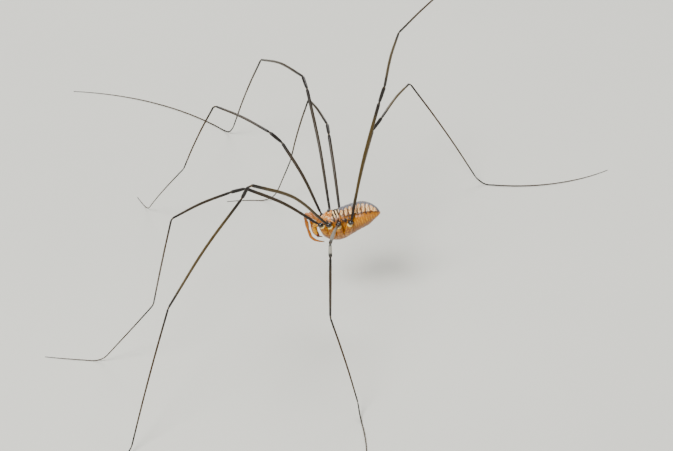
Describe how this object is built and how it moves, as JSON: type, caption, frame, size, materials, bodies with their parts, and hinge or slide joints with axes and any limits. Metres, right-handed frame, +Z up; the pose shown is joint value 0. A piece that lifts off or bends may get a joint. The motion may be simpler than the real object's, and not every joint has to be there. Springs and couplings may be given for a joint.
{
  "type": "harvestman",
  "caption": "Life-size still model of a striped harvestman with long thin legs, one hind leg raised",
  "frame": {"origin": "on the floor, under the middle of the whole model", "axes": "+Z up, the head points along -X, the animal's left side faces -Y"},
  "size_m": [0.0806, 0.0944, 0.0545],
  "materials": {
    "body_skin": "glossy amber cuticle with a dark stripe and cream blotches",
    "eye_mound": "glossy black cuticle",
    "eye": "polished black lens",
    "mouthparts": "glossy orange cuticle",
    "leg_joint": "glossy black cuticle",
    "leg": "satin olive-brown cuticle",
    "foot": "satin dark brown cuticle"
  },
  "bodies": {
    "root": {"prosoma": "body_skin", "abdomen": "body_skin", "ocularium": "eye_mound", "eye_left": "eye", "eye_right": "eye", "pedipalp_left": "mouthparts", "pedipalp_right": "mouthparts", "chelicera_left": "mouthparts", "chelicera_right": "mouthparts", "left_1_trochanter": "leg_joint", "left_1_femur": "leg", "left_1_patella": "leg_joint", "left_1_tibia": "leg", "left_1_metatarsus": "foot", "left_1_tarsus": "foot", "left_2_trochanter": "leg_joint", "left_2_femur": "leg", "left_2_patella": "leg_joint", "left_2_tibia": "leg", "left_2_metatarsus": "foot", "left_2_tarsus": "foot", "left_3_trochanter": "leg_joint", "left_3_femur": "leg", "left_3_patella": "leg_joint", "left_3_tibia": "leg", "left_3_metatarsus": "foot", "left_3_tarsus": "foot", "left_4_trochanter": "leg_joint", "left_4_femur": "leg", "left_4_patella": "leg_joint", "left_4_tibia": "leg", "left_4_metatarsus": "foot", "left_4_tarsus": "foot", "right_1_trochanter": "leg_joint", "right_1_femur": "leg", "right_1_patella": "leg_joint", "right_1_tibia": "leg", "right_1_metatarsus": "foot", "right_1_tarsus": "foot", "right_2_trochanter": "leg_joint", "right_2_femur": "leg", "right_2_patella": "leg_joint", "right_2_tibia": "leg", "right_2_metatarsus": "foot", "right_2_tarsus": "foot", "right_3_trochanter": "leg_joint", "right_3_femur": "leg", "right_3_patella": "leg_joint", "right_3_tibia": "leg", "right_3_metatarsus": "foot", "right_3_tarsus": "foot", "right_4_trochanter": "leg_joint", "right_4_femur": "leg", "right_4_patella": "leg_joint", "right_4_tibia": "leg", "right_4_metatarsus": "foot", "right_4_tarsus": "foot"}
  },
  "joints": []
}
